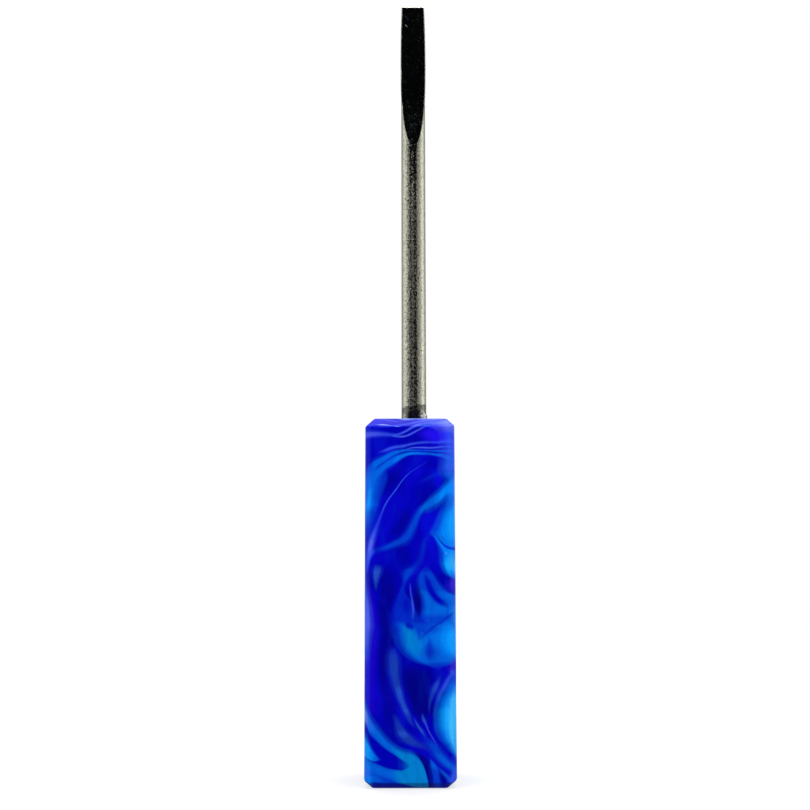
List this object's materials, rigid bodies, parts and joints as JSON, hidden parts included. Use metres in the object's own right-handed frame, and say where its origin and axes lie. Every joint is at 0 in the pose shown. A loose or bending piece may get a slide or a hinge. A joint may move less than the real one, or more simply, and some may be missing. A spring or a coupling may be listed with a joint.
{
  "type": "clay shaper tool",
  "caption": "Hand tool for shaping clay: a square cast-resin handle with bevelled ends, and a round steel shank glued in its end, ground flat on one side at the tip.",
  "frame": {"origin": "centre of the handle's butt face, on which the tool stands", "axes": "+Z along the tool from the handle's butt to the ground tip; the ground flat faces -Y; +X is to the right of someone who looks at the flat"},
  "size_m": [0.0222, 0.0222, 0.2032],
  "materials": {
    "marbled_resin": "satin",
    "steel": "satin",
    "clear_epoxy": "gloss"
  },
  "bodies": {
    "root": {"handle": "marbled_resin", "shank": "steel", "adhesive": "clear_epoxy"}
  },
  "joints": []
}
